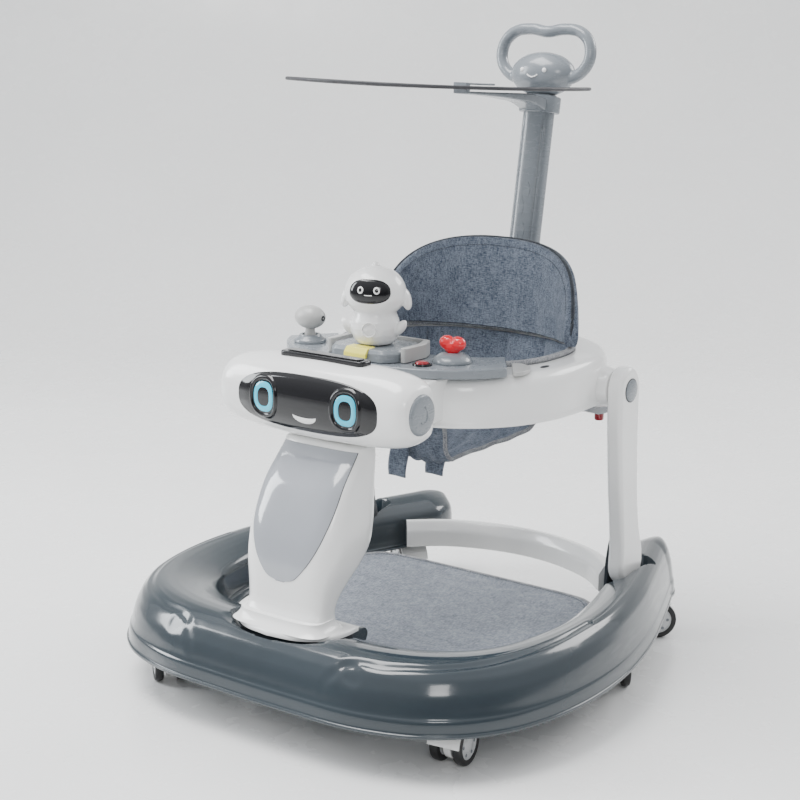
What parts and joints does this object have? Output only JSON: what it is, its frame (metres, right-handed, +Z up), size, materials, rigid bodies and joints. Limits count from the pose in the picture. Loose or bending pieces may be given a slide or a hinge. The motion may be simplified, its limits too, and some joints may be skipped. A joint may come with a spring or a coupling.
{
  "type": "baby walker",
  "caption": "Rolling baby walker: U-shaped base on casters, folding front column and rear legs, activity tray with toys, fabric sling seat, push handle and flat canopy.",
  "frame": {"origin": "floor level under the centre of the bounding box", "axes": "+Z up, the face and activity tray look towards -Y, the child faces -Y, +X is the child's left"},
  "size_m": [0.634, 0.655, 0.8111],
  "materials": {
    "slate_plastic": "glossy dark slate",
    "white_plastic": "glossy white",
    "grey_plastic": "glossy cool grey",
    "light_grey_plastic": "satin light grey",
    "black_gloss": "high gloss black",
    "eye_blue": "glossy printed blue",
    "yellow_plastic": "glossy yellow",
    "red_plastic": "glossy red",
    "tyre_black": "satin black",
    "heather_fabric": "woven heather blue-grey",
    "canopy_fabric_grey": "thin grey cloth",
    "hoop_wire": "dark painted wire"
  },
  "bodies": {
    "base": {"base_shell": "slate_plastic", "rear_cross_bar": "white_plastic", "foot_mat": "heather_fabric"},
    "column": {"front_column": "white_plastic", "column_panel": "grey_plastic"},
    "tray": {"tray_ring": "white_plastic", "face_housing": "white_plastic", "face_panel": "black_gloss", "eye_left": "eye_blue", "eye_right": "eye_blue", "ear_left": "grey_plastic", "ear_right": "grey_plastic", "top_strip": "black_gloss", "console_top": "grey_plastic", "console_block": "grey_plastic", "block_trim": "light_grey_plastic", "console_tab_left": "light_grey_plastic", "console_tab_right": "light_grey_plastic", "joystick_base": "grey_plastic", "knob_base": "grey_plastic", "red_button_bezel": "black_gloss", "hinge_bracket_left": "grey_plastic", "hinge_bracket_right": "grey_plastic", "seat_back": "heather_fabric", "seat_sling": "heather_fabric"},
    "leg_left": {"rear_leg_left": "white_plastic", "leg_cap_left": "grey_plastic"},
    "leg_right": {"rear_leg_right": "white_plastic", "leg_cap_right": "grey_plastic"},
    "push_bar": {"push_pole": "grey_plastic", "push_handle": "grey_plastic"},
    "canopy": {"canopy_clip": "grey_plastic", "canopy_hoop": "hoop_wire", "canopy_fabric": "canopy_fabric_grey"},
    "toy": {"toy_robot": "white_plastic", "toy_visor": "black_gloss"},
    "joystick": {"joystick": "light_grey_plastic"},
    "yellow_button": {"yellow_button": "yellow_plastic"},
    "red_button": {"red_button": "red_plastic"},
    "red_knob": {"red_knob": "red_plastic"},
    "release_left": {"release_button_left": "red_plastic"},
    "release_right": {"release_button_right": "red_plastic"},
    "swivel_front_right": {"caster_front_right_hood": "white_plastic"},
    "wheel_front_right_a": {"caster_front_right_wheel_a": "tyre_black"},
    "wheel_front_right_b": {"caster_front_right_wheel_b": "tyre_black"},
    "swivel_front_left": {"caster_front_left_hood": "white_plastic"},
    "wheel_front_left_a": {"caster_front_left_wheel_a": "tyre_black"},
    "wheel_front_left_b": {"caster_front_left_wheel_b": "tyre_black"},
    "swivel_middle_right": {"caster_middle_right_hood": "white_plastic"},
    "wheel_middle_right_a": {"caster_middle_right_wheel_a": "tyre_black"},
    "wheel_middle_right_b": {"caster_middle_right_wheel_b": "tyre_black"},
    "swivel_middle_left": {"caster_middle_left_hood": "white_plastic"},
    "wheel_middle_left_a": {"caster_middle_left_wheel_a": "tyre_black"},
    "wheel_middle_left_b": {"caster_middle_left_wheel_b": "tyre_black"},
    "swivel_rear_right": {"caster_rear_right_hood": "white_plastic"},
    "wheel_rear_right_a": {"caster_rear_right_wheel_a": "tyre_black"},
    "wheel_rear_right_b": {"caster_rear_right_wheel_b": "tyre_black"},
    "swivel_rear_left": {"caster_rear_left_hood": "white_plastic"},
    "wheel_rear_left_a": {"caster_rear_left_wheel_a": "tyre_black"},
    "wheel_rear_left_b": {"caster_rear_left_wheel_b": "tyre_black"}
  },
  "joints": [
    {"name": "column_fold", "type": "hinge", "parent": "base", "child": "column", "pos_m": [0, -0.1625, 0.093], "axis": [-1, 0, 0], "range_deg": [0, 50]},
    {"name": "tray_level", "type": "hinge", "parent": "column", "child": "tray", "pos_m": [0, -0.1835, 0.3245], "axis": [-1, 0, 0], "range_deg": [-50, 0]},
    {"name": "leg_left_fold", "type": "hinge", "parent": "tray", "child": "leg_left", "pos_m": [-0.217, 0.1425, 0.366], "axis": [-1, 0, 0], "range_deg": [0, 50]},
    {"name": "leg_right_fold", "type": "hinge", "parent": "tray", "child": "leg_right", "pos_m": [0.217, 0.1425, 0.366], "axis": [-1, 0, 0], "range_deg": [0, 50]},
    {"name": "push_bar_lift", "type": "slide", "parent": "tray", "child": "push_bar", "axis": [0, 0.1685, 0.9857], "range_m": [0, 0.05]},
    {"name": "canopy_slide", "type": "slide", "parent": "push_bar", "child": "canopy", "axis": [0, 0.1685, 0.9857], "range_m": [-0.06, 0]},
    {"name": "toy_spin", "type": "hinge", "parent": "tray", "child": "toy", "pos_m": [0, -0.0855, 0.4339], "axis": [0, 0, 1], "continuous": true},
    {"name": "joystick_tilt", "type": "hinge", "parent": "tray", "child": "joystick", "pos_m": [-0.118, -0.0655, 0.4249], "axis": [0, 1, 0], "range_deg": [-15, 15], "stiffness_Nm_per_rad": 0.03},
    {"name": "red_knob_spin", "type": "hinge", "parent": "tray", "child": "red_knob", "pos_m": [0.096, -0.0605, 0.4229], "axis": [0, 0, 1], "continuous": true},
    {"name": "yellow_press", "type": "slide", "parent": "tray", "child": "yellow_button", "axis": [0, 0, -1], "range_m": [0, 0.003], "stiffness_N_per_m": 600},
    {"name": "red_press", "type": "slide", "parent": "tray", "child": "red_button", "axis": [0, 0, -1], "range_m": [0, 0.002], "stiffness_N_per_m": 400},
    {"name": "release_left_press", "type": "slide", "parent": "tray", "child": "release_left", "axis": [0, 0, 1], "range_m": [0, 0.005], "stiffness_N_per_m": 500},
    {"name": "release_right_press", "type": "slide", "parent": "tray", "child": "release_right", "axis": [0, 0, 1], "range_m": [0, 0.005], "stiffness_N_per_m": 500},
    {"name": "front_right_swivel", "type": "hinge", "parent": "base", "child": "swivel_front_right", "pos_m": [0.217, -0.2325, 0.0925], "axis": [0, 0, 1], "continuous": true},
    {"name": "front_right_roll_a", "type": "hinge", "parent": "swivel_front_right", "child": "wheel_front_right_a", "pos_m": [0.22993, -0.21882, 0.025], "axis": [-0.9925, -0.1219, 0], "continuous": true},
    {"name": "front_right_roll_b", "type": "hinge", "parent": "swivel_front_right", "child": "wheel_front_right_b", "pos_m": [0.20115, -0.22236, 0.025], "axis": [-0.9925, -0.1219, 0], "continuous": true},
    {"name": "front_left_swivel", "type": "hinge", "parent": "base", "child": "swivel_front_left", "pos_m": [-0.217, -0.2325, 0.0925], "axis": [0, 0, 1], "continuous": true},
    {"name": "front_left_roll_a", "type": "hinge", "parent": "swivel_front_left", "child": "wheel_front_left_a", "pos_m": [-0.21713, -0.25132, 0.025], "axis": [0.6428, 0.766, 0], "continuous": true},
    {"name": "front_left_roll_b", "type": "hinge", "parent": "swivel_front_left", "child": "wheel_front_left_b", "pos_m": [-0.19849, -0.22911, 0.025], "axis": [0.6428, 0.766, 0], "continuous": true},
    {"name": "middle_right_swivel", "type": "hinge", "parent": "base", "child": "swivel_middle_right", "pos_m": [0.257, 0.0725, 0.0925], "axis": [0, 0, 1], "continuous": true},
    {"name": "middle_right_roll_a", "type": "hinge", "parent": "swivel_middle_right", "child": "wheel_middle_right_a", "pos_m": [0.26168, 0.09073, 0.025], "axis": [-0.809, -0.5878, 0], "continuous": true},
    {"name": "middle_right_roll_b", "type": "hinge", "parent": "swivel_middle_right", "child": "wheel_middle_right_b", "pos_m": [0.23822, 0.07369, 0.025], "axis": [-0.809, -0.5878, 0], "continuous": true},
    {"name": "middle_left_swivel", "type": "hinge", "parent": "base", "child": "swivel_middle_left", "pos_m": [-0.257, 0.0725, 0.0925], "axis": [0, 0, 1], "continuous": true},
    {"name": "middle_left_roll_a", "type": "hinge", "parent": "swivel_middle_left", "child": "wheel_middle_left_a", "pos_m": [-0.23822, 0.07369, 0.025], "axis": [-0.809, 0.5878, 0], "continuous": true},
    {"name": "middle_left_roll_b", "type": "hinge", "parent": "swivel_middle_left", "child": "wheel_middle_left_b", "pos_m": [-0.26168, 0.09073, 0.025], "axis": [-0.809, 0.5878, 0], "continuous": true},
    {"name": "rear_right_swivel", "type": "hinge", "parent": "base", "child": "swivel_rear_right", "pos_m": [0.198, 0.2675, 0.0925], "axis": [0, 0, 1], "continuous": true},
    {"name": "rear_right_roll_a", "type": "hinge", "parent": "swivel_rear_right", "child": "wheel_rear_right_a", "pos_m": [0.21651, 0.26411, 0.025], "axis": [-0.6428, 0.766, 0], "continuous": true},
    {"name": "rear_right_roll_b", "type": "hinge", "parent": "swivel_rear_right", "child": "wheel_rear_right_b", "pos_m": [0.19787, 0.28632, 0.025], "axis": [-0.6428, 0.766, 0], "continuous": true},
    {"name": "rear_left_swivel", "type": "hinge", "parent": "base", "child": "swivel_rear_left", "pos_m": [-0.198, 0.2675, 0.0925], "axis": [0, 0, 1], "continuous": true},
    {"name": "rear_left_roll_a", "type": "hinge", "parent": "swivel_rear_left", "child": "wheel_rear_left_a", "pos_m": [-0.20114, 0.28606, 0.025], "axis": [-0.5, -0.866, 0], "continuous": true},
    {"name": "rear_left_roll_b", "type": "hinge", "parent": "swivel_rear_left", "child": "wheel_rear_left_b", "pos_m": [-0.21564, 0.26094, 0.025], "axis": [-0.5, -0.866, 0], "continuous": true}
  ],
  "couplings": [
    {"joint": "tray_level", "follows": "column_fold", "ratio": -1},
    {"joint": "leg_left_fold", "follows": "column_fold", "ratio": 1},
    {"joint": "leg_right_fold", "follows": "column_fold", "ratio": 1}
  ]
}
